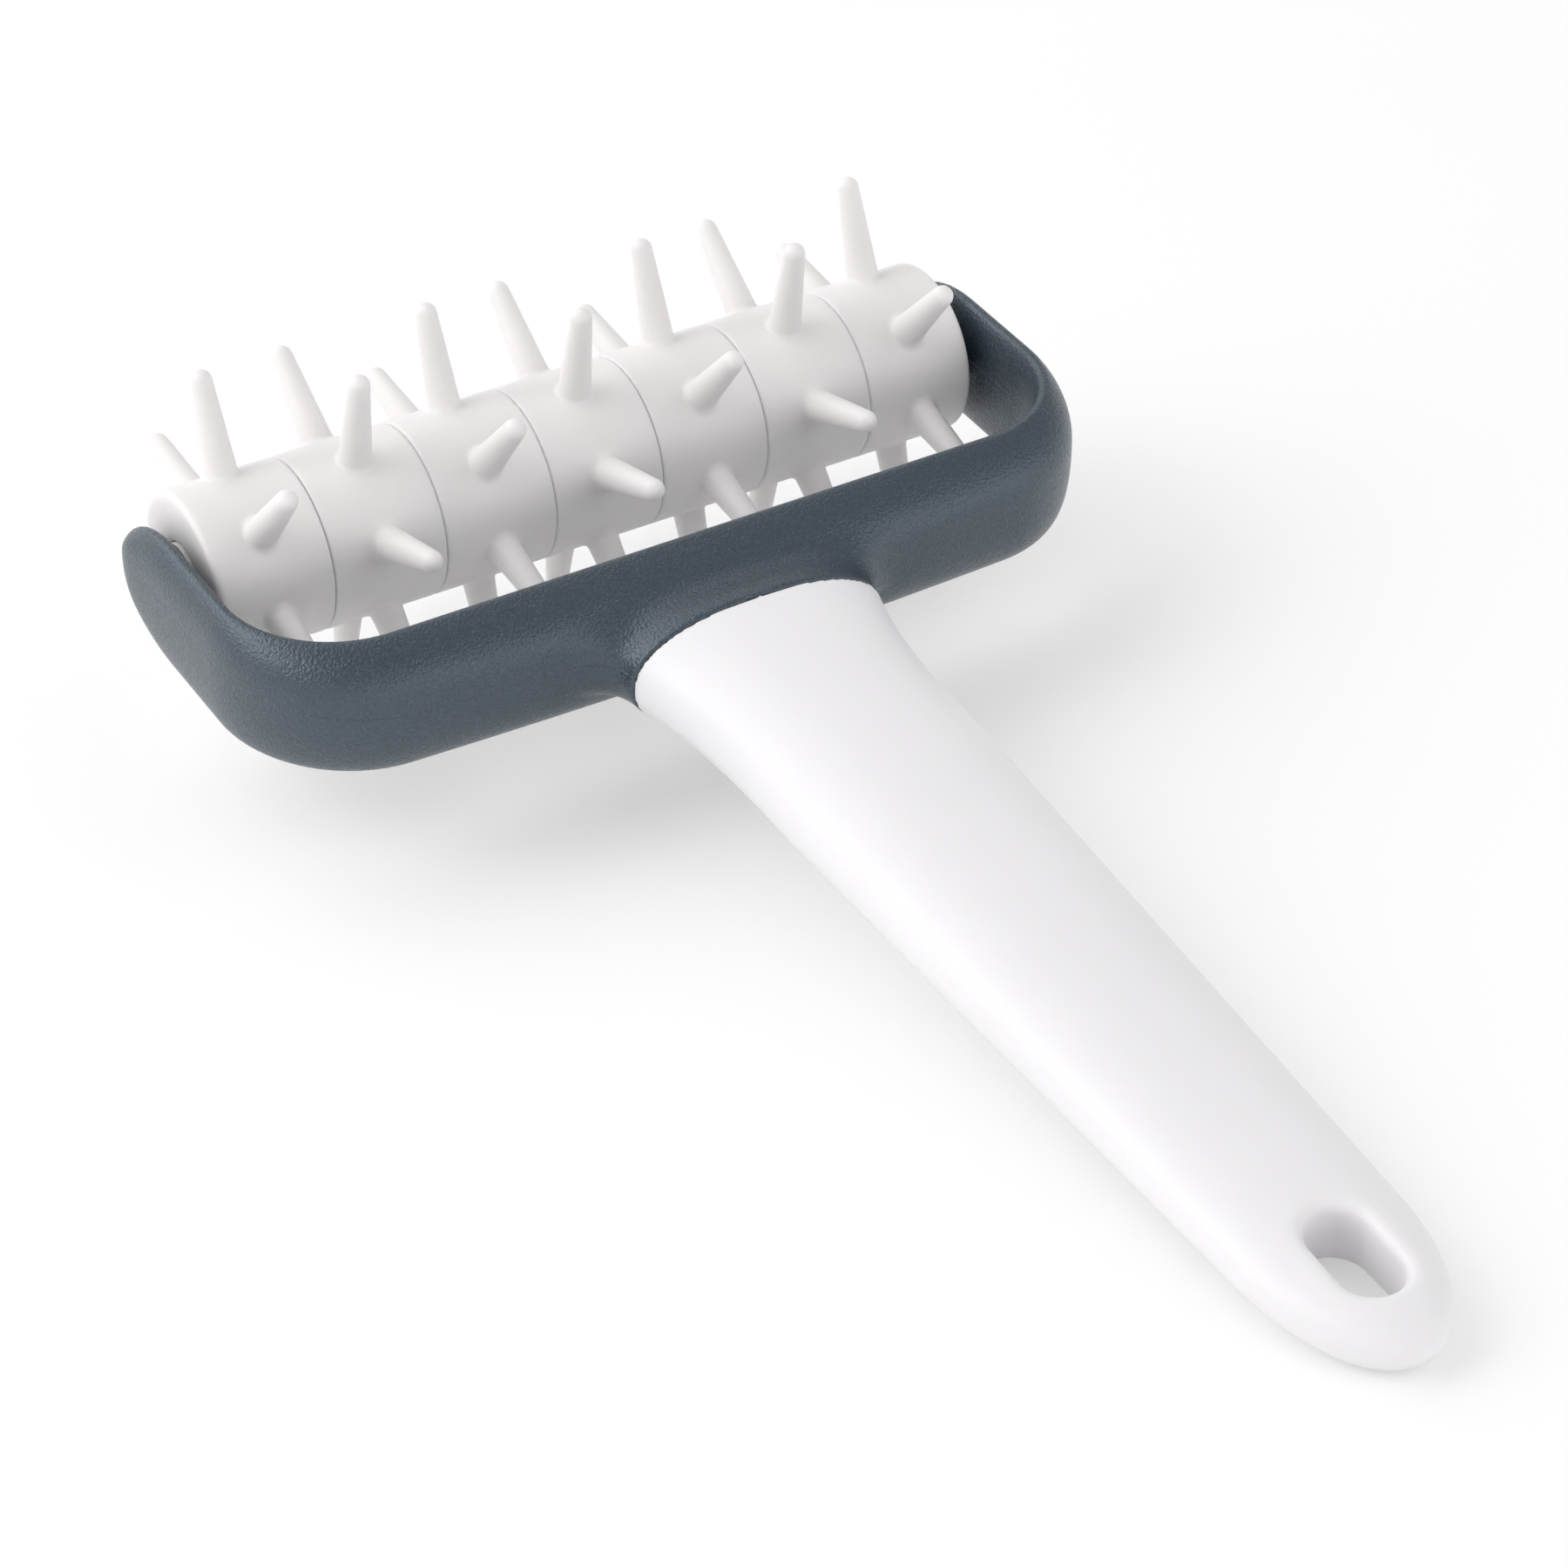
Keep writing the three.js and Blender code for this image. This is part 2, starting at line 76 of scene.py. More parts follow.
YOKE_HALF_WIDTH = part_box("yoke")[1].x
TINY = 1e-9

SECTION_SIDES = 96
BAR_STEPS = 40
CORNER_STEPS = 40
ARM_STEPS = 60
NECK_SIDES = 144
NECK_STEPS = 40
BOSS_SIDES = 64
GRIP_SIDES = 96
GRIP_STEPS = 160
SLOT_SIDES = 96
LIP_STEPS = 16
DISC_SIDES = 240
EDGE_STEPS = 12
HEXAGON_SIDES = 6
PIN_SIDES = 48
PIN_STEPS = 24
PIN_TIP_STEPS = 12
LAST_RING = 0.9998
FRAME_GRAIN = 0.42 * MM
DISC_GRAIN = 0.28 * MM
RELAX_SHARE = 0.5
RELAX_ROUNDS = 3
MIX_FACTOR = 0
MIX_COLOURS = (6, 7)
MIX_RESULT = 2


def length(name, description, millimetres):
    """A size that a user may change, in Blender's length unit."""
    return FloatProperty(name=name, description=description, default=millimetres * MM, min=0,
                         unit="LENGTH")


def share(name, description, default):
    """A number from 0 to 1 that a user may change."""
    return FloatProperty(name=name, description=description, default=default, min=0, max=1,
                         subtype="FACTOR")


def exponent(name, description, default):
    """A power in a shape's formula that a user may change."""
    return FloatProperty(name=name, description=description, default=default, min=0.1, max=4)


def colour(name, description, default):
    """A linear colour that a user may change."""
    return FloatVectorProperty(name=name, description=description, default=default, min=0, max=1,
                               size=3, subtype="COLOR")


class DockerYoke(bpy.types.PropertyGroup):
    """Sizes of the yoke."""

    arm_thickness: length("Arm thickness", "Thickness of an arm at the rod", 3.9)
    arm_tip: length("Arm tip", "How far an arm reaches past the rod", 8.8)
    arm_taper: length("Arm taper", "Length over which an arm's tip loses its height", 13.8)
    arm_thinning: length("Arm thinning", "Length over which an arm's tip loses its thickness", 5.4)
    bar_inner: length("Bar inner face", "Distance from the rod to the bar's inner face", 32)
    bar_thickness: length("Bar thickness", "Thickness of the bar at its ends", 7.5)
    bar_bow: length("Bar bow", "How far the bar's back bows out at its middle", 2.6)
    parting_height: length("Parting height", "Height of the parting line above the rod", 1.6)
    shoulder_height: length("Shoulder height", "Height of the crest above the parting line", 7.2)
    belly_depth: length("Belly depth", "Depth of the underside below the parting line", 10.6)
    corner_radius: length("Corner radius", "Radius of the crest line at the corners", 15.4)
    crest_inset: length("Crest inset", "Distance from the inner face to the crest line", 1.8)
    shoulder_across: exponent("Shoulder across", "Exponent of the shoulder's reach", 1.7)
    shoulder_up: exponent("Shoulder up", "Exponent of the shoulder's height", 0.6)
    belly_across: exponent("Belly across", "Exponent of the belly's reach", 0.78)
    belly_up: exponent("Belly up", "Exponent of the belly's depth", 0.85)
    inner_sharpness: exponent("Inner sharpness", "Exponent of the section's inner side", 0.77)
    boss_radius: length("Boss radius", "Radius of the boss round the rod", 5.2)
    boss_height: length("Boss height", "How far the boss stands off the arm", 1)
    boss_bore: length("Boss bore", "Radius of the hole in the boss", 2.15)
    neck_length: length("Neck length", "Length of the neck behind the bowed bar", 5.5)
    neck_width: length("Neck width", "Width of the neck at the handle", 35)
    neck_height: length("Neck height", "Height of the neck at the handle", 16)
    neck_flare: length("Neck flare", "How far the fillet spreads on each side", 9)
    neck_root: FloatProperty(name="Neck root", default=math.radians(45), subtype="ANGLE",
                             description="Slant at which the fillet meets the bar's back")
    neck_fullness: share("Neck fullness", "How far the fillet keeps its end directions", 0.45)


class DockerHandle(bpy.types.PropertyGroup):
    """Sizes of the handle."""

    length: length("Length", "Length of the handle behind the seam", 135)
    seam_gap: length("Seam gap", "Gap between the neck and the handle", 0.08)
    drop: length("Drop", "How far the underside falls along the handle", 0.65)
    waist_width: length("Waist width", "Width where the flare ends", 28.6)
    flare_length: length("Flare length", "Length of the flare behind the seam", 30)
    end_width: length("End width", "Width where the end starts to round off", 22)
    end_height: length("End height", "Height at the end", 8.05)
    end_rounding: length("End rounding", "Length of the rounded end in plan", 18.7)
    nose_length: length("Nose length", "Length over which the end loses its height", 7)
    land_depth: length("Land depth", "Depth of the flat along the underside", 0.35)
    sharpness: share("Sharpness", "Exponent of the oval section", 0.87)
    slot_width: length("Slot width", "Width of the hanging slot", 7.5)
    slot_straight: length("Slot straight", "Straight length of the hanging slot's sides", 5.6)
    slot_margin: length("Slot margin", "Material between the slot and the end", 6.6)
    slot_lip: length("Slot lip", "Radius of the slot's rounded lip", 1.6)


class DockerRoller(bpy.types.PropertyGroup):
    """Sizes of the roller."""

    radius: length("Radius", "Radius of the discs", 11.3)
    seam_gap: length("Seam gap", "Gap between neighbouring discs", 0.06)
    edge: length("Edge", "Rounding of the edges between discs", 0.15)
    end_edge: length("End edge", "Rounding of the roller's two end edges", 0.8)
    end_wall: length("End wall", "Thickness of the wall over each end of the core", 1.2)
    end_hole: length("End hole", "Radius of the hole in an end wall", 4.95)
    keyway: length("Keyway", "Width across the flats of the hexagonal keyway", 11.3)
    pins: IntProperty(name="Pins", description="Pins in each ring", default=6, min=3)
    pin_reach: length("Pin reach", "Distance from the rod's axis to a pin's tip", 25)
    pin_root: length("Pin root", "Radius of a pin at the disc", 2.15)
    pin_tip: length("Pin tip", "Radius of a pin's round tip", 1.42)
    pin_fillet: length("Pin fillet", "Radius of the fillet round a pin's root", 0.35)
    pin_sink: length("Pin sink", "How far a pin runs into its disc", 2)


class DockerFinish(bpy.types.PropertyGroup):
    """Colours of the mouldings."""

    slate: colour("Slate", "Colour of the yoke", (0.021, 0.035, 0.052))
    handle: colour("Handle", "Colour of the handle", (0.84, 0.825, 0.84))
    roller: colour("Roller", "Colour of the discs and their pins", (0.83, 0.805, 0.805))
    inner: colour("Inner", "Colour of the core and the bushes", (0.8, 0.79, 0.77))
    steel: colour("Steel", "Colour of the rod", (0.56, 0.57, 0.58))


def power(value, degree):
    """A power that keeps the sign of its base."""
    return np.sign(value) * np.abs(value) ** degree


def quarter_arc(t):
    """Falls from 1 to 0 along a quarter circle as t goes from 0 to 1, and is 1 before that."""
    return np.sqrt(np.clip(1 - np.clip(t, 0, None) ** 2, 0, None))


def turn(count):
    """Equal angles once round a ring."""
    return np.arange(count) * (2 * np.pi / count)


def eased(count):
    """Steps from 0 to 1 that close up towards 1, as the sine of equal angles."""
    return np.sin(np.linspace(0, np.pi / 2, count))


def ring_faces(rows, columns):
    """Quads between neighbouring rings, each ring closed on itself."""
    start = np.arange(rows * columns).reshape(rows, columns)
    after = np.roll(start, -1, axis=1)
    corners = [start[:-1], after[:-1], after[1:], start[1:]]
    return np.stack(corners, axis=-1).reshape(-1, len(corners))


def capped(rings):
    """A closed skin through rings, with a flat cap on the first and last ring."""
    rows, columns = rings.shape[:2]
    faces = ring_faces(rows, columns).tolist()
    faces.append(list(range(columns))[::-1])
    faces.append(list(range((rows - 1) * columns, rows * columns)))
    return rings.reshape(-1, 3), faces


def looped(rings):
    """A closed skin through rings that come round to the first one again."""
    rows, columns = rings.shape[:2]
    faces = ring_faces(rows + 1, columns) % (rows * columns)
    return rings.reshape(-1, 3), faces.tolist()


def about_x(profile, angles):
    """A profile of (radius, x) rows turned about the X axis: each ring is one row at every angle."""
    radius, x = np.broadcast_arrays(profile[:, :1], profile[:, 1:])
    return np.stack([x + 0 * angles, -radius * np.sin(angles), radius * np.cos(angles)], axis=-1)


def tool_place(pitched):
    """The turn about the rod that the yoke and handle have, and the move to the rod's place."""
    turned = Matrix.Rotation(PITCH if pitched else 0, 4, "X")
    return Matrix.Translation(AXLE) @ turned


def mesh_object(name, skins):
    """One object of all the skins' points and faces."""
    mesh = bpy.data.meshes.new(name)
    first = np.cumsum([0] + [len(points) for points, _ in skins])
    points = np.concatenate([points for points, _ in skins])
    faces = [[start + corner for corner in face]
             for start, (_, loops) in zip(first, skins) for face in loops]
    mesh.from_pydata(points, [], faces)
    made = bpy.data.objects.new(name, mesh)
    bpy.context.scene.collection.objects.link(made)
    return made


def moulding(name, cad_node, body, material, skins, grain, cutters=(), pitched=True):
    """Fuses skins into one smooth surface, less the cutters, and puts it in the place of a CAD node.

    The surface is fused in the tool's own frame, so that the grain of its mesh lies along the seams.
    """
    made = mesh_object(name, skins)
    tools = [mesh_object(f"{name}_cutter", [cutter]) for cutter in cutters]
    for tool in tools:
        cut = made.modifiers.new("cut", "BOOLEAN")
        cut.object = tool
        cut.operation = "DIFFERENCE"
        cut.solver = "EXACT"
    fused = made.modifiers.new("fused", "REMESH")
    fused.mode = "VOXEL"
    fused.voxel_size = grain
    relaxed = made.modifiers.new("relaxed", "SMOOTH")
    relaxed.factor = RELAX_SHARE
    relaxed.iterations = RELAX_ROUNDS
    settled = made.evaluated_get(bpy.context.evaluated_depsgraph_get())
    rough = made.data
    made.data = bpy.data.meshes.new_from_object(settled)
    made.data.name = name
    made.data.transform(tool_place(pitched))
    made.modifiers.clear()
    bpy.data.meshes.remove(rough)
    for tool in tools:
        bpy.data.meshes.remove(tool.data)
    made.data.shade_smooth()
    made.data.materials.clear()
    made.data.materials.append(material)
    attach(made, body)
    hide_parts(cad_node)
    return made


def bar_reach(yoke, x):
    """How far the bar reaches behind its crest line: its thickness and a bow that falls with x squared."""
    inner_x = YOKE_HALF_WIDTH - yoke.arm_thickness
    outwards = np.clip(np.abs(x) / inner_x, 0, 1)
    return yoke.bar_thickness - yoke.crest_inset + yoke.bar_bow * (1 - outwards**2)


def crest_line(yoke):
    """Places and outward directions along half of the crest line: bar, quarter circle, then arm."""
    arm_x = YOKE_HALF_WIDTH - yoke.arm_thickness + yoke.crest_inset
    crest_y = -yoke.bar_inner - yoke.crest_inset
    corner = np.array([arm_x - yoke.corner_radius, crest_y + yoke.corner_radius])
    bar_x = np.linspace(0, corner[0], BAR_STEPS, endpoint=False)
    bar = np.stack([bar_x, np.full_like(bar_x, crest_y)], axis=-1)
    angle = np.linspace(-np.pi / 2, 0, CORNER_STEPS, endpoint=False)
    around = np.stack([np.cos(angle), np.sin(angle)], axis=-1)
    arm_y = corner[1] + (yoke.arm_tip - corner[1]) * eased(ARM_STEPS) * LAST_RING
    arm = np.stack([np.full_like(arm_y, arm_x), arm_y], axis=-1)
    place = np.concatenate([bar, corner + yoke.corner_radius * around, arm])
    backwards = np.tile([0.0, -1.0], (BAR_STEPS, 1))
    sideways = np.tile([1.0, 0.0], (ARM_STEPS, 1))
    outward = np.concatenate([backwards, around, sideways])
    return place, outward


def outer_side(yoke, angle, reach):
    """Reach, height and square direction of the section's outer side, at angles from level.

    The reach is a power of the cosine and the height a power of the sine, measured from the parting
    line. Above that line the powers make a sloped shoulder, and below it a full belly.
    """
    level = np.cos(angle)
    rise = np.sin(angle)
    above = rise >= 0
    across_power = np.where(above, yoke.shoulder_across, yoke.belly_across)
    up_power = np.where(above, yoke.shoulder_up, yoke.belly_up)
    height = np.where(above, yoke.shoulder_height, yoke.belly_depth)
    across = reach * power(level, across_power)
    up = yoke.parting_height + height * power(rise, up_power)
    lean_out = up_power * power(level, 2 - across_power) / np.maximum(reach, TINY)
    lean_up = across_power * power(rise, 2 - up_power) / height * np.ones_like(reach)
    normal = np.stack([lean_out, lean_up], axis=-1)
    return across, up, normal / np.linalg.norm(normal, axis=-1, keepdims=True)


def inner_side(yoke, angle):
    """Reach and height of the section's shallow inner side, as powers of the angle's cosine and sine."""
    rise = np.sin(angle)
    height = np.where(rise >= 0, yoke.shoulder_height, yoke.belly_depth)
    across = yoke.crest_inset * power(np.cos(angle), yoke.inner_sharpness)
    return across, yoke.parting_height + height * power(rise, yoke.inner_sharpness)


def yoke_sweep(yoke):
    """The arms and the bar: a rounded section carried along the crest line.

    Outside the line the section reaches out by the local thickness, and inside by the crest's inset.
    Towards an arm's tip the height and the thickness fall along quarter circles.
    """
    place, outward = crest_line(yoke)
    taper = quarter_arc((place[:, 1] - yoke.arm_tip) / yoke.arm_taper + 1)
    thinning = quarter_arc((place[:, 1] - yoke.arm_tip) / yoke.arm_thinning + 1)
    arm_share = outward[:, 0] ** 2
    thickness = (1 - arm_share) * bar_reach(yoke, place[:, 0])
    thickness = (thickness + arm_share * (yoke.arm_thickness - yoke.crest_inset)) * thinning
    angle = turn(SECTION_SIDES)
    outer_across, up, _ = outer_side(yoke, angle, thickness[:, None])
    inner_across, inner_up = inner_side(yoke, angle)
    outside = np.cos(angle) >= 0
    across = np.where(outside, outer_across, inner_across)
    up = np.where(outside, up, inner_up) * taper[:, None]
    plan = place[:, None] + outward[:, None] * across[..., None]
    half = np.concatenate([plan, up[..., None]], axis=-1)
    mirrored = half[:0:-1] * [-1, 1, 1]
    return capped(np.concatenate([mirrored, half]))


def seam_y(yoke):
    """Where the neck ends and the handle starts."""
    return -(yoke.bar_inner + yoke.bar_thickness + yoke.bar_bow + yoke.neck_length)


def neck_skin(yoke, handle):
    """The neck: a cubic Bezier from each point of the seam's oval to a point on the bar's back.

    Each curve leaves the seam square to it and meets the bar along the bar's own surface, so the fillet
    is hollow and has no crease. A last ring is sunk under the bar.
    """
    angle = turn(NECK_SIDES)
    wide = power(np.cos(angle), handle.sharpness)
    high = power(np.sin(angle), handle.sharpness)
    seam_x = yoke.neck_width / 2 * wide
    seam_z = yoke.neck_height / 2 * high
    seam = np.stack([seam_x, np.full_like(angle, seam_y(yoke)), seam_z], axis=-1)
    x = (yoke.neck_width / 2 + yoke.neck_flare) * wide
    across, up, slope = outer_side(yoke, yoke.neck_root * high, bar_reach(yoke, x))
    root = np.stack([x, -yoke.bar_inner - yoke.crest_inset - across, up], axis=-1)
    normal = np.stack([0 * x, -slope[:, 0], slope[:, 1]], axis=-1)
    pull = yoke.neck_fullness * np.linalg.norm(seam - root, axis=-1, keepdims=True)
    run_out = (seam - root) - ((seam - root) * normal).sum(-1, keepdims=True) * normal
    run_out *= pull / np.linalg.norm(run_out, axis=-1, keepdims=True)
    t = np.linspace(0, 1, NECK_STEPS)[:, None, None]
    bend = ((1 - t) ** 3 * seam + 3 * t * (1 - t) ** 2 * (seam + pull * [0, 1, 0])
            + 3 * t**2 * (1 - t) * (root + run_out) + t**3 * root)
    sunk = root - normal * yoke.boss_height
    return capped(np.concatenate([bend, sunk[None]]))


def boss_skin(yoke, side):
    """A boss with its bore: a rectangle turned about the rod, sunk a little into the arm."""
    inner_x = YOKE_HALF_WIDTH - yoke.arm_thickness
    face = side * (inner_x - yoke.boss_height)
    root = side * (inner_x + yoke.boss_height)
    profile = np.array([[yoke.boss_bore, face], [yoke.boss_radius, face],
                        [yoke.boss_radius, root], [yoke.boss_bore, root]])
    return looped(about_x(profile, turn(BOSS_SIDES)))


def grip_section(yoke, handle, distance):
    """Half width, middle height, half height and land of the handle at distances behind the seam.

    The width falls along a cube from the neck to the waist, then evenly to the end, and rounds off there
    along a quarter circle. The underside is straight, the height falls evenly, and the nose closes on a
    quarter circle.
    """
    part = distance / handle.length
    end_start = handle.length - handle.end_rounding
    flare = np.clip(1 - distance / handle.flare_length, 0, None) ** 3
    taper = np.clip((distance - handle.flare_length) / (end_start - handle.flare_length), 0, None)
    width = handle.waist_width + (yoke.neck_width - handle.waist_width) * flare
    width = width + (handle.end_width - handle.waist_width) * taper
    height = yoke.neck_height + (handle.end_height - yoke.neck_height) * part
    underside = -yoke.neck_height / 2 - handle.drop * part
    rounded = quarter_arc((distance - end_start) / handle.end_rounding)
    nose = quarter_arc((distance - handle.length) / handle.nose_length + 1)
    return width / 2 * rounded, underside + height / 2, height / 2 * nose, underside + handle.land_depth


def handle_skin(yoke, handle):
    """The handle: an oval section carried along its length, with a flat land along the underside."""
    distance = handle.seam_gap + (handle.length - handle.seam_gap) * eased(GRIP_STEPS) * LAST_RING
    half_width, middle, half_height, land = grip_section(yoke, handle, distance)
    angle = turn(GRIP_SIDES)
    x = half_width[:, None] * power(np.cos(angle), handle.sharpness)
    z = middle[:, None] + half_height[:, None] * power(np.sin(angle), handle.sharpness)
    y = np.broadcast_to((seam_y(yoke) - distance)[:, None], x.shape)
    return capped(np.stack([x, y, np.maximum(z, land[:, None])], axis=-1))


def slot_skin(yoke, handle):
    """The hanging slot's cutter: a round-ended outline whose lips open along quarter circles.

    Each lip's ring lies at its own depth under the handle's surface, which is taken from the oval
    section at that point, so the lip is equally wide all round.
    """
    centre = handle.length - handle.slot_margin - (handle.slot_straight + handle.slot_width) / 2
    t = np.linspace(0, np.pi / 2, LIP_STEPS)
    widening = handle.slot_lip * np.concatenate([[1], 1 - np.sin(t)])
    depth = handle.slot_lip * np.concatenate([[-1], 1 - np.cos(t)])
    angle = turn(SLOT_SIDES) + np.pi / SLOT_SIDES
    radius = handle.slot_width / 2 + widening[:, None]
    x = radius * np.cos(angle)
    along = radius * np.sin(angle) + handle.slot_straight / 2 * np.sign(np.sin(angle))
    half_width, middle, half_height, land = grip_section(yoke, handle, centre - along)
    oval = 2 / handle.sharpness
    crown = half_height * np.clip(1 - np.abs(x / half_width) ** oval, 0, None) ** (1 / oval)
    y = seam_y(yoke) - centre + along
    top = np.stack([x, y, middle + crown - depth[:, None]], axis=-1)
    bottom = np.stack([x, y, np.maximum(middle - crown, land) + depth[:, None]], axis=-1)
    return capped(np.concatenate([bottom, top[::-1]]))


def rounded_edge(radius):
    """A quarter circle of (inwards, along) rows, from the end face to the rim."""
    angle = np.linspace(0, np.pi / 2, EDGE_STEPS)
    return radius * np.stack([1 - np.sin(angle), 1 - np.cos(angle)], axis=-1)


def disc_skin(roller, low, high, low_closed, high_closed):
    """A disc between two places along X: a rim with rounded edges and a hexagonal keyway.

    Each ring of the skin is one point of the profile at every angle. The keyway's radius at an angle is
    the hexagon's apothem over the cosine of the angle from the nearest flat. A closed end has a wall with
    a round hole.
    """
    angles = turn(DISC_SIDES)
    flat = 2 * np.pi / HEXAGON_SIDES
    from_flat = np.mod(angles, flat) - flat / 2
    keyway = roller.keyway / 2 / np.cos(from_flat)
    hole = np.full_like(angles, roller.end_hole)
    low_edge = roller.end_edge if low_closed else roller.edge
    high_edge = roller.end_edge if high_closed else roller.edge
    left = np.array([roller.radius, low]) + rounded_edge(low_edge) * [-1, 1]
    right = np.array([roller.radius, high]) + rounded_edge(high_edge)[::-1] * [-1, -1]
    rim = about_x(np.concatenate([left, right]), angles)
    high_wall = high - roller.end_wall
    low_wall = low + roller.end_wall
    inner = [(high, hole), (high_wall, hole), (high_wall, keyway)] if high_closed else [(high, keyway)]
    inner += [(low_wall, keyway), (low_wall, hole), (low, hole)] if low_closed else [(low, keyway)]
    radius = np.stack([around for _, around in inner])
    x = np.array([along for along, _ in inner])[:, None] + 0 * angles
    bore = np.stack([x, -radius * np.sin(angles), radius * np.cos(angles)], axis=-1)
    return looped(np.concatenate([rim, bore]))


def pin_skin(roller, x, angle):
    """A pin: a cone with a round tip and a flared root, turned about its axis and set at an angle."""
    tip_centre = roller.pin_reach - roller.pin_tip
    foot = roller.radius - roller.pin_sink
    fillet_top = roller.radius + roller.pin_fillet
    height = np.concatenate([np.linspace(foot, fillet_top, PIN_STEPS),
                             np.linspace(fillet_top + roller.pin_fillet, tip_centre, PIN_STEPS)])
    slope = (roller.pin_root - roller.pin_tip) / (tip_centre - roller.radius)
    cone = roller.pin_tip + slope * (tip_centre - height)
    into_fillet = np.clip((fillet_top - height) / roller.pin_fillet, 0, 1)
    flare = roller.pin_fillet * (1 - quarter_arc(into_fillet))
    tip = np.linspace(0, np.pi / 2, PIN_TIP_STEPS)[1:-1]
    radius = np.concatenate([cone + flare, roller.pin_tip * np.cos(tip)])
    height = np.concatenate([height, tip_centre + roller.pin_tip * np.sin(tip)])
    around = turn(PIN_SIDES)
    upright = np.stack([x + radius[:, None] * np.cos(around), radius[:, None] * np.sin(around),
                        np.broadcast_to(height[:, None], (len(height), PIN_SIDES))], axis=-1)
    return capped(upright @ np.array(Matrix.Rotation(angle, 3, "X")).T)


def new_material(name):
    """An empty node material with its shader, output and Object coordinates."""
    material = bpy.data.materials.new(name)
    material.use_nodes = True
    tree = material.node_tree
    shader = tree.nodes["Principled BSDF"]
    place = tree.nodes.new("ShaderNodeTexCoord").outputs["Object"]
    return material, tree, shader, place


def node(tree, kind, inputs=(), **settings):
    """A node with its settings, and its inputs given as values or linked from other nodes' outputs."""
    made = tree.nodes.new(kind)
    for key, value in settings.items():
        setattr(made, key, value)
    for key, value in dict(inputs).items():
        if isinstance(value, bpy.types.NodeSocket):
            tree.links.new(value, made.inputs[key])
        else:
            made.inputs[key].default_value = value
    return made


def noise(tree, place, feature, detail=3.0, roughness=0.55):
    """Noise whose features are about the given size in metres."""
    inputs = {"Vector": place, "Scale": 1 / feature, "Detail": detail, "Roughness": roughness}
    return node(tree, "ShaderNodeTexNoise", inputs).outputs["Fac"]


def between(tree, value, low, high):
    """A value from 0 to 1 brought evenly into a range."""
    inputs = {"Value": value, "To Min": low, "To Max": high}
    return node(tree, "ShaderNodeMapRange", inputs).outputs["Result"]


def maths(tree, operation, a, b=0.0):
    """One sum on values or outputs."""
    return node(tree, "ShaderNodeMath", {0: a, 1: b}, operation=operation).outputs[0]


def line_at(tree, value, width):
    """1 where a coordinate is 0, falling to 0 at the line's half width."""
    inputs = {"Value": maths(tree, "ABSOLUTE", value), "From Min": 0.0, "From Max": width / 2,
              "To Min": 1.0, "To Max": 0.0}
    return node(tree, "ShaderNodeMapRange", inputs, interpolation_type="SMOOTHSTEP").outputs["Result"]


def mixed(tree, factor, first, second):
    """A colour between two colours."""
    low, high = MIX_COLOURS
    inputs = {MIX_FACTOR: factor, low: (*first, 1), high: (*second, 1)}
    return node(tree, "ShaderNodeMix", inputs, data_type="RGBA").outputs[MIX_RESULT]


def shaded(base, factor):
    """A colour times a factor, held below white."""
    return [min(1.0, channel * factor) for channel in base]


def bumped(tree, shader, height, depth):
    """Sets a height in metres as the shader's normal."""
    bump = node(tree, "ShaderNodeBump", {"Height": height, "Distance": depth, "Strength": 1.0})
    tree.links.new(bump.outputs["Normal"], shader.inputs["Normal"])


def level_place(tree, place, lean):
    """Object coordinates turned back about the rod by a lean, so Z is the height off a leaning plane."""
    inputs = {"Vector": place, "Location": tuple(-AXLE)}
    moved = node(tree, "ShaderNodeMapping", inputs, vector_type="POINT")
    turned = node(tree, "ShaderNodeMapping", {"Vector": moved.outputs[0], "Rotation": (-lean, 0, 0)},
                  vector_type="POINT")
    return node(tree, "ShaderNodeSeparateXYZ", {"Vector": turned.outputs[0]})


def slate_plastic(base, parting_height):
    """Slate plastic with a fine moulded grain, painted glints speckling its colour, and a faint parting line at
    its height above the rod.
    """
    material, tree, shader, place = new_material("slate_plastic")
    grain = noise(tree, place, 0.3 * MM, detail=2.0, roughness=0.5)
    pebbles = node(tree, "ShaderNodeTexVoronoi", {"Vector": place, "Scale": 1 / (0.36 * MM)},
                   feature="SMOOTH_F1").outputs["Distance"]
    cloud = noise(tree, place, 14 * MM)
    spread = {"Value": grain, "From Min": 0.34, "From Max": 0.66}
    glint = node(tree, "ShaderNodeMapRange", spread).outputs["Result"]
    # Painted glints: the base colour swings from 0.6 to 1.4 times the slate along the fine grain noise, with a
    # little random tone from the large cloud noise.
    painted_glint_and_cloud = maths(tree, "ADD", maths(tree, "MULTIPLY", glint, 0.8), maths(tree, "MULTIPLY", cloud, 0.2))
    tree.links.new(mixed(tree, painted_glint_and_cloud, shaded(base, 0.6), shaded(base, 1.4)), shader.inputs["Base Color"])
    tree.links.new(between(tree, glint, 0.35, 0.25), shader.inputs["Roughness"])
    above = maths(tree, "SUBTRACT", level_place(tree, place, PITCH).outputs["Z"], parting_height)
    parting = line_at(tree, above, 0.2 * MM)
    height = maths(tree, "ADD", maths(tree, "MULTIPLY", grain, 0.6), maths(tree, "MULTIPLY", pebbles, 0.4))
    height = maths(tree, "ADD", height, maths(tree, "MULTIPLY", parting, 0.3))
    bumped(tree, shader, height, 0.2 * MM)
    shader.inputs["Specular IOR Level"].default_value = 1.0
    shader.inputs["Specular Tint"].default_value = (0.83, 0.94, 1.0, 1.0)
    return material


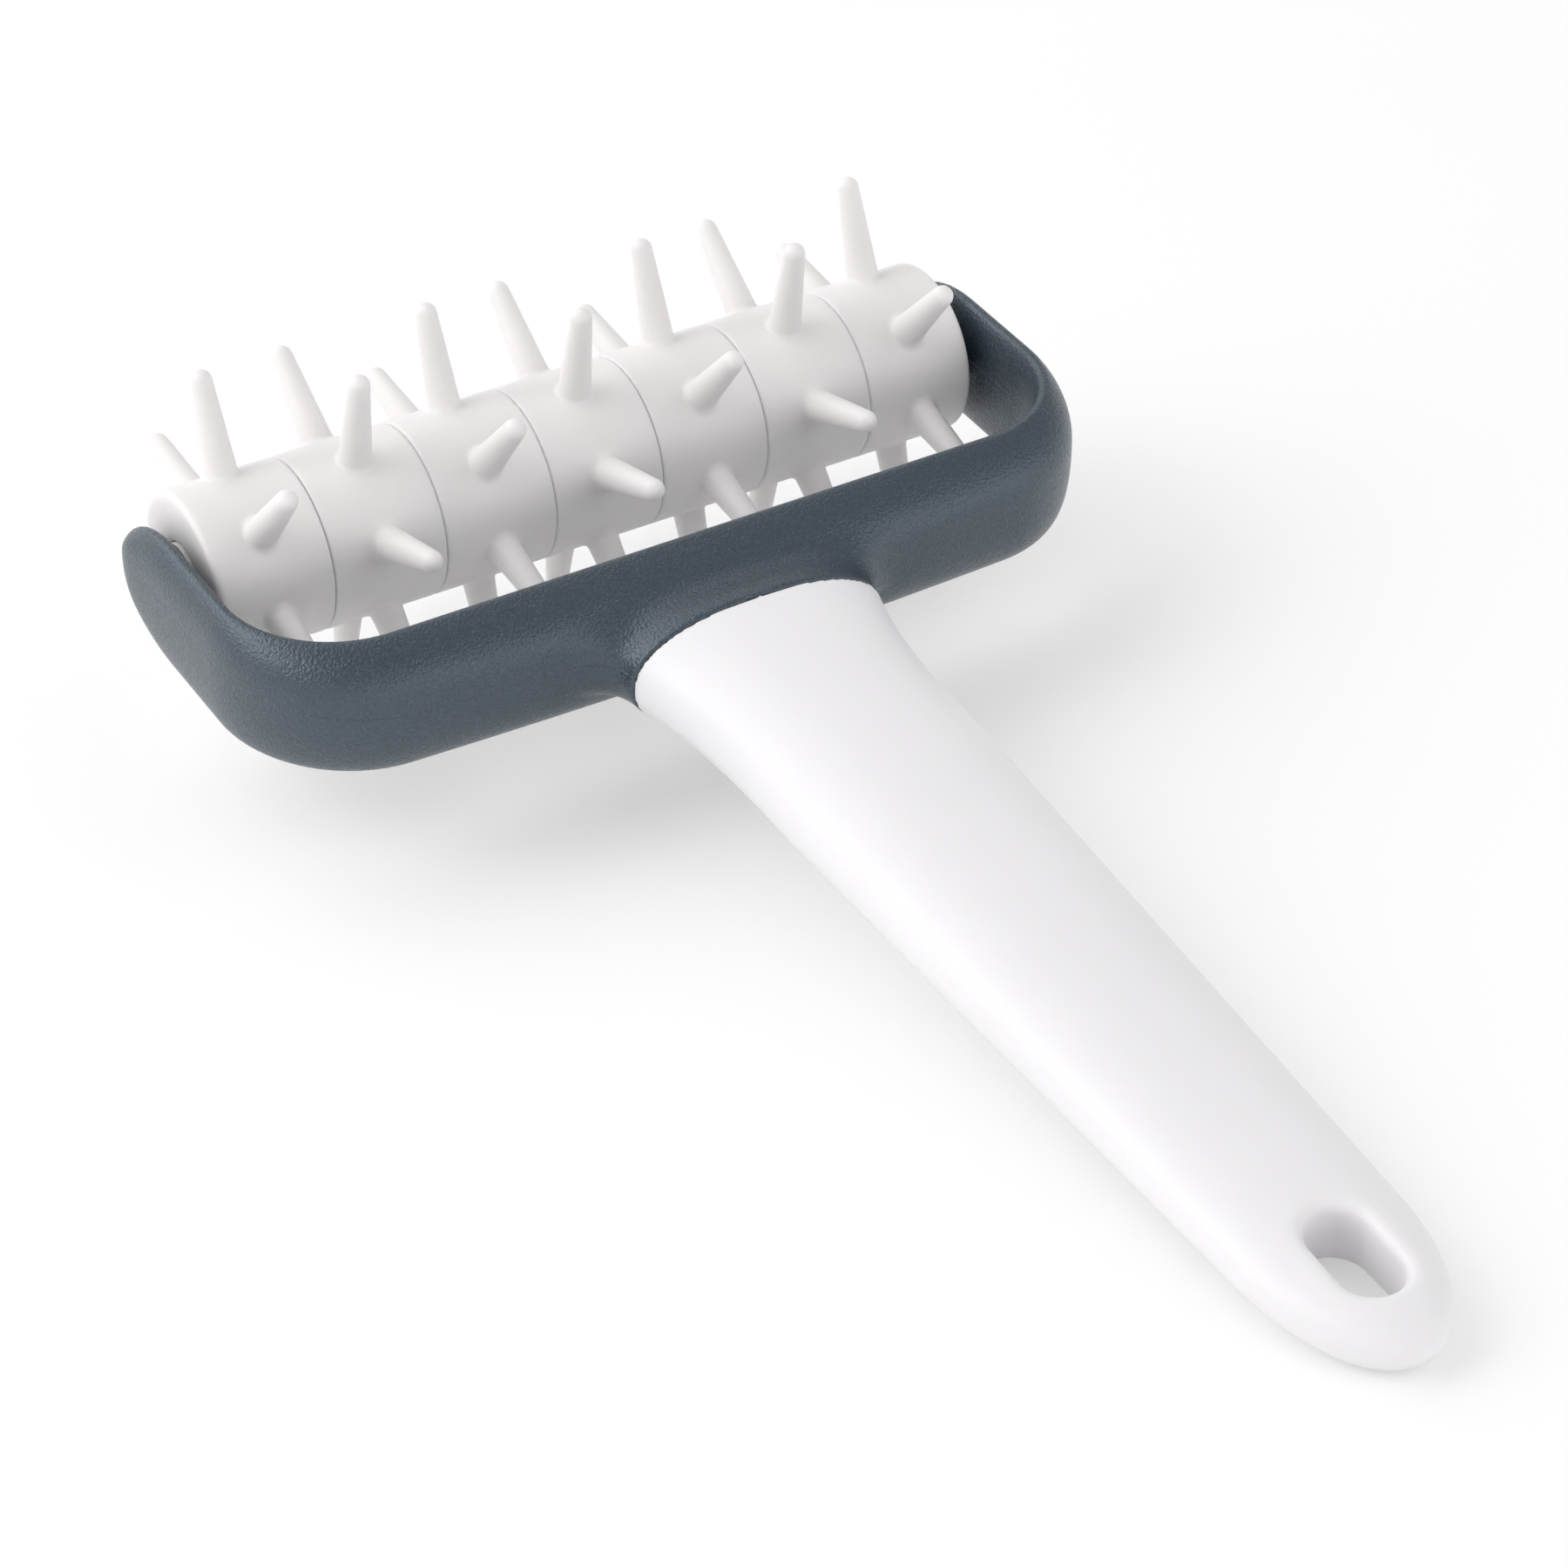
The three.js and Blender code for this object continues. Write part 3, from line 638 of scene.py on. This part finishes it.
def white_handle_plastic(base, lean):
    """Satin white plastic with a soft orange-peel and a faint parting line along its sides."""
    material, tree, shader, place = new_material("white_handle_plastic")
    cloud = noise(tree, place, 22 * MM)
    peel = noise(tree, place, 1.1 * MM, detail=2.0)
    tree.links.new(mixed(tree, cloud, shaded(base, 0.975), shaded(base, 1.02)), shader.inputs["Base Color"])
    tree.links.new(between(tree, peel, 0.36, 0.46), shader.inputs["Roughness"])
    parting = line_at(tree, level_place(tree, place, lean).outputs["Z"], 0.22 * MM)
    height = maths(tree, "ADD", maths(tree, "MULTIPLY", peel, 0.35), maths(tree, "MULTIPLY", parting, 0.65))
    bumped(tree, shader, height, 0.02 * MM)
    shader.inputs["Subsurface Weight"].default_value = 0.15
    shader.inputs["Subsurface Radius"].default_value = (1.0, 0.95, 0.9)
    shader.inputs["Subsurface Scale"].default_value = 3 * MM
    return material


def white_roller_plastic(base, middle_x):
    """White, slightly translucent plastic with a faint mould line round the middle of a disc."""
    material, tree, shader, place = new_material("white_roller_plastic")
    cloud = noise(tree, place, 9 * MM)
    peel = noise(tree, place, 0.7 * MM, detail=2.0)
    tree.links.new(mixed(tree, cloud, shaded(base, 0.965), shaded(base, 1.025)), shader.inputs["Base Color"])
    tree.links.new(between(tree, peel, 0.42, 0.54), shader.inputs["Roughness"])
    x = node(tree, "ShaderNodeSeparateXYZ", {"Vector": place}).outputs["X"]
    parting = line_at(tree, maths(tree, "SUBTRACT", x, middle_x), 0.2 * MM)
    height = maths(tree, "ADD", maths(tree, "MULTIPLY", peel, 0.4), maths(tree, "MULTIPLY", parting, 0.6))
    bumped(tree, shader, height, 0.025 * MM)
    shader.inputs["Subsurface Weight"].default_value = 0.25
    shader.inputs["Subsurface Radius"].default_value = (1.0, 0.85, 0.8)
    shader.inputs["Subsurface Scale"].default_value = 2 * MM
    return material


def natural_plastic(base):
    """Unpainted inner plastic with a soft mottle."""
    material, tree, shader, place = new_material("natural_plastic")
    mottle = noise(tree, place, 3 * MM)
    tree.links.new(mixed(tree, mottle, shaded(base, 0.93), shaded(base, 1.04)), shader.inputs["Base Color"])
    tree.links.new(between(tree, mottle, 0.4, 0.55), shader.inputs["Roughness"])
    bumped(tree, shader, noise(tree, place, 0.4 * MM), 0.02 * MM)
    return material


def drawn_steel(base):
    """Drawn steel bar with fine scratches along X."""
    material, tree, shader, place = new_material("drawn_steel")
    stretched = node(tree, "ShaderNodeMapping", {"Vector": place, "Scale": (0.02, 1, 1)})
    scratch = noise(tree, stretched.outputs[0], 0.12 * MM, detail=4.0)
    tree.links.new(mixed(tree, scratch, shaded(base, 0.85), shaded(base, 1.1)), shader.inputs["Base Color"])
    tree.links.new(between(tree, scratch, 0.22, 0.38), shader.inputs["Roughness"])
    bumped(tree, shader, scratch, 0.01 * MM)
    shader.inputs["Metallic"].default_value = 1.0
    return material


class DOCKER_OT_yoke(bpy.types.Operator):
    """Build the yoke with its neck and bosses"""

    bl_idname = "docker.yoke"
    bl_label = "Yoke"

    def execute(self, context):
        yoke = context.scene.docker_yoke
        handle = context.scene.docker_handle
        skins = [yoke_sweep(yoke), neck_skin(yoke, handle), boss_skin(yoke, -1), boss_skin(yoke, 1)]
        finish = slate_plastic(context.scene.docker_finish.slate, yoke.parting_height)
        moulding("yoke_moulding", "yoke", "frame", finish, skins, FRAME_GRAIN)
        return {"FINISHED"}


class DOCKER_OT_handle(bpy.types.Operator):
    """Build the handle with its hanging slot"""

    bl_idname = "docker.handle"
    bl_label = "Handle"

    def execute(self, context):
        yoke = context.scene.docker_yoke
        handle = context.scene.docker_handle
        fall = (yoke.neck_height - handle.end_height) / 2 + handle.drop
        lean = PITCH + math.atan2(fall, handle.length)
        finish = white_handle_plastic(context.scene.docker_finish.handle, lean)
        skins = [handle_skin(yoke, handle)]
        cutters = [slot_skin(yoke, handle)]
        moulding("handle_moulding", "handle", "frame", finish, skins, FRAME_GRAIN, cutters)
        return {"FINISHED"}


class DOCKER_OT_discs(bpy.types.Operator):
    """Build the discs with their rings of pins"""

    bl_idname = "docker.discs"
    bl_label = "Pin Discs"

    def execute(self, context):
        roller = context.scene.docker_roller
        spacing = 2 * math.pi / roller.pins
        inset = roller.seam_gap / 2
        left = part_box(DISC_NAMES[0])[0].x
        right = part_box(DISC_NAMES[-1])[1].x
        seams = np.linspace(left, right, len(DISC_NAMES) + 1)
        for count, name in enumerate(DISC_NAMES):
            low, high = seams[count], seams[count + 1]
            first = name == DISC_NAMES[0]
            last = name == DISC_NAMES[-1]
            offset = spacing / 4 if count % 2 else -spacing / 4
            middle = (low + high) / 2
            skins = [disc_skin(roller, low + inset, high - inset, first, last)]
            skins += [pin_skin(roller, middle, k * spacing + offset) for k in range(roller.pins)]
            finish = white_roller_plastic(context.scene.docker_finish.roller, middle)
            moulding(f"{name}_moulding", name, "roller", finish, skins, DISC_GRAIN,
                     pitched=False)
        return {"FINISHED"}


class DOCKER_OT_inner_pieces(bpy.types.Operator):
    """Finish the rod, the core and the bushes, which keep their own shapes"""

    bl_idname = "docker.inner_pieces"
    bl_label = "Inner Pieces"

    def execute(self, context):
        colours = context.scene.docker_finish
        inner = natural_plastic(colours.inner)
        finishes = {
            "axle_rod": drawn_steel(colours.steel),
            "hex_core": inner,
            "left_end_bush": inner,
            "right_end_bush": inner,
        }
        for name, finish in finishes.items():
            materials = frame["nodes"][name].data.materials
            materials.clear()
            materials.append(finish)
        return {"FINISHED"}


CAMERA_LENS = 109.51
CAMERA_SENSOR = 36
CAMERA_AZIMUTH = math.radians(29.66)
CAMERA_ELEVATION = math.radians(33.34)
CAMERA_ROLL = math.radians(-2.236)
CAMERA_FROM_AXLE = Vector((-0.24148, -0.47651, 0.29978))
CAMERA_CLIP_START = 0.01
FLOOR_HALF_SIZE = 6.0
FLOOR_COLOUR = (0.95, 0.95, 0.95)
FLOOR_LIFT = 0.35
SHADOW_RADIUS = (0.22, 0.45)
HORIZON_LEVEL = 1.0
CEILING_LEVEL = 0.46
CEILING_START = (math.sin(math.radians(9)), math.sin(math.radians(14)))
LAMP_DISTANCE = 1.2
LAMPS = {
    "left": ((-0.8, 0.21, 0.57), 0.8, 4.4),
    "back_left": ((-0.4, 0.6, 0.7), 1.2, 5.6),
    "back": ((0.1, 0.9, 0.4), 1.4, 2.0),
    "front_right": ((0.5, -0.6, 0.5), 1.2, 3.8),
    "front": ((-0.3, -0.9, 0.3), 1.2, 2.2),
}


def photo_camera():
    """A camera at the photograph's place, turned by its azimuth, elevation and roll."""
    data = bpy.data.cameras.new("camera")
    data.lens = CAMERA_LENS
    data.sensor_width = CAMERA_SENSOR
    data.clip_start = CAMERA_CLIP_START
    camera = bpy.data.objects.new("camera", data)
    ahead = math.cos(CAMERA_AZIMUTH)
    aside = math.sin(CAMERA_AZIMUTH)
    level = math.cos(CAMERA_ELEVATION)
    look = Vector((level * aside, level * ahead, -math.sin(CAMERA_ELEVATION)))
    right = Vector((ahead, -aside, 0))
    right.rotate(Matrix.Rotation(-CAMERA_ROLL, 3, look))
    turned = Matrix((right, right.cross(look), -look)).transposed().to_4x4()
    camera.matrix_world = Matrix.Translation(Vector(AXLE) + CAMERA_FROM_AXLE) @ turned
    bpy.context.scene.collection.objects.link(camera)
    bpy.context.scene.camera = camera


def soft_box(name, direction, size, power_w):
    """A square area lamp in a direction from the tool, turned to face it."""
    data = bpy.data.lights.new(name, "AREA")
    data.shape = "SQUARE"
    data.size = size
    data.energy = power_w
    lamp = bpy.data.objects.new(name, data)
    away = Vector(direction).normalized()
    lamp.location = away * LAMP_DISTANCE
    lamp.rotation_euler = away.to_track_quat("Z", "Y").to_euler()
    bpy.context.scene.collection.objects.link(lamp)


def white_floor():
    """A wide pale floor that keeps the tool's shadow and runs out to plain white further away.

    Rays from the camera, in a gloss or through glass see the near floor as white paper and the far floor
    as a white backdrop. All other rays see a pale floor.
    """
    corners = FLOOR_HALF_SIZE * np.array([[-1, -1, 0], [1, -1, 0], [1, 1, 0], [-1, 1, 0]])
    mesh = bpy.data.meshes.new("floor")
    mesh.from_pydata(corners, [], [[0, 1, 2, 3]])
    floor = bpy.data.objects.new("floor", mesh)
    bpy.context.scene.collection.objects.link(floor)
    material, tree, shader, place = new_material("white_floor")
    path = tree.nodes.new("ShaderNodeLightPath").outputs
    seen = maths(tree, "MAXIMUM", path["Is Camera Ray"], path["Is Glossy Ray"])
    seen = maths(tree, "MAXIMUM", seen, path["Is Transmission Ray"])
    tree.links.new(mixed(tree, seen, FLOOR_COLOUR, (1, 1, 1)), shader.inputs["Base Color"])
    shader.inputs["Roughness"].default_value = 0.9
    shader.inputs["Specular IOR Level"].default_value = 0.1
    away = node(tree, "ShaderNodeVectorMath", {0: place}, operation="LENGTH").outputs["Value"]
    inputs = {"Value": away, "From Min": SHADOW_RADIUS[0], "From Max": SHADOW_RADIUS[1],
              "To Min": FLOOR_LIFT}
    far = node(tree, "ShaderNodeMapRange", inputs, interpolation_type="SMOOTHSTEP").outputs["Result"]
    backdrop = tree.nodes.new("ShaderNodeEmission")
    shown = maths(tree, "MULTIPLY", far, seen)
    inputs = {0: shown, 1: shader.outputs["BSDF"], 2: backdrop.outputs["Emission"]}
    mix = node(tree, "ShaderNodeMixShader", inputs)
    tree.links.new(mix.outputs["Shader"], tree.nodes["Material Output"].inputs["Surface"])
    mesh.materials.append(material)


def studio_world():
    """A white horizon under a darker ceiling, by the height of each direction."""
    world = bpy.data.worlds.new("world")
    world.use_nodes = True
    tree = world.node_tree
    background = tree.nodes["Background"]
    background.inputs["Color"].default_value = (1, 1, 1, 1)
    direction = tree.nodes.new("ShaderNodeTexCoord").outputs["Generated"]
    height = node(tree, "ShaderNodeSeparateXYZ", {"Vector": direction}).outputs["Z"]
    inputs = {"Value": height, "From Min": CEILING_START[0], "From Max": CEILING_START[1],
              "To Min": HORIZON_LEVEL, "To Max": CEILING_LEVEL}
    level = node(tree, "ShaderNodeMapRange", inputs, interpolation_type="SMOOTHSTEP").outputs["Result"]
    tree.links.new(level, background.inputs["Strength"])
    bpy.context.scene.world = world


class DOCKER_OT_stage(bpy.types.Operator):
    """Build the floor, the lights and the camera"""

    bl_idname = "docker.stage"
    bl_label = "Stage"

    def execute(self, context):
        context.scene.view_settings.view_transform = "Standard"
        white_floor()
        studio_world()
        for name, (direction, size, power_w) in LAMPS.items():
            soft_box(name, direction, size, power_w)
        photo_camera()
        return {"FINISHED"}


class DOCKER_PT_sidebar(bpy.types.Panel):
    """Sizes, colours and build steps of the docker"""

    bl_label = "Dough Docker"
    bl_idname = "DOCKER_PT_sidebar"
    bl_space_type = "VIEW_3D"
    bl_region_type = "UI"
    bl_category = "Docker"

    def draw(self, context):
        for operator in OPERATORS:
            self.layout.operator(operator.bl_idname)
        for name, group in GROUPS.items():
            box = self.layout.box()
            box.label(text=group.__doc__)
            for key in group.__annotations__:
                box.prop(getattr(context.scene, name), key)


GROUPS = {
    "docker_yoke": DockerYoke,
    "docker_handle": DockerHandle,
    "docker_roller": DockerRoller,
    "docker_finish": DockerFinish,
}
OPERATORS = [DOCKER_OT_stage, DOCKER_OT_yoke, DOCKER_OT_handle, DOCKER_OT_discs, DOCKER_OT_inner_pieces]


def register():
    for cls in [*GROUPS.values(), *OPERATORS, DOCKER_PT_sidebar]:
        bpy.utils.register_class(cls)
    for name, group in GROUPS.items():
        setattr(bpy.types.Scene, name, PointerProperty(type=group))


def unregister():
    for name in GROUPS:
        delattr(bpy.types.Scene, name)
    for cls in [DOCKER_PT_sidebar, *reversed(OPERATORS), *GROUPS.values()]:
        bpy.utils.unregister_class(cls)


def main():
    """Registers the classes and builds everything."""
    register()
    bpy.ops.docker.stage()
    bpy.ops.docker.yoke()
    bpy.ops.docker.handle()
    bpy.ops.docker.discs()
    bpy.ops.docker.inner_pieces()


if __name__ == "__main__":
    main()
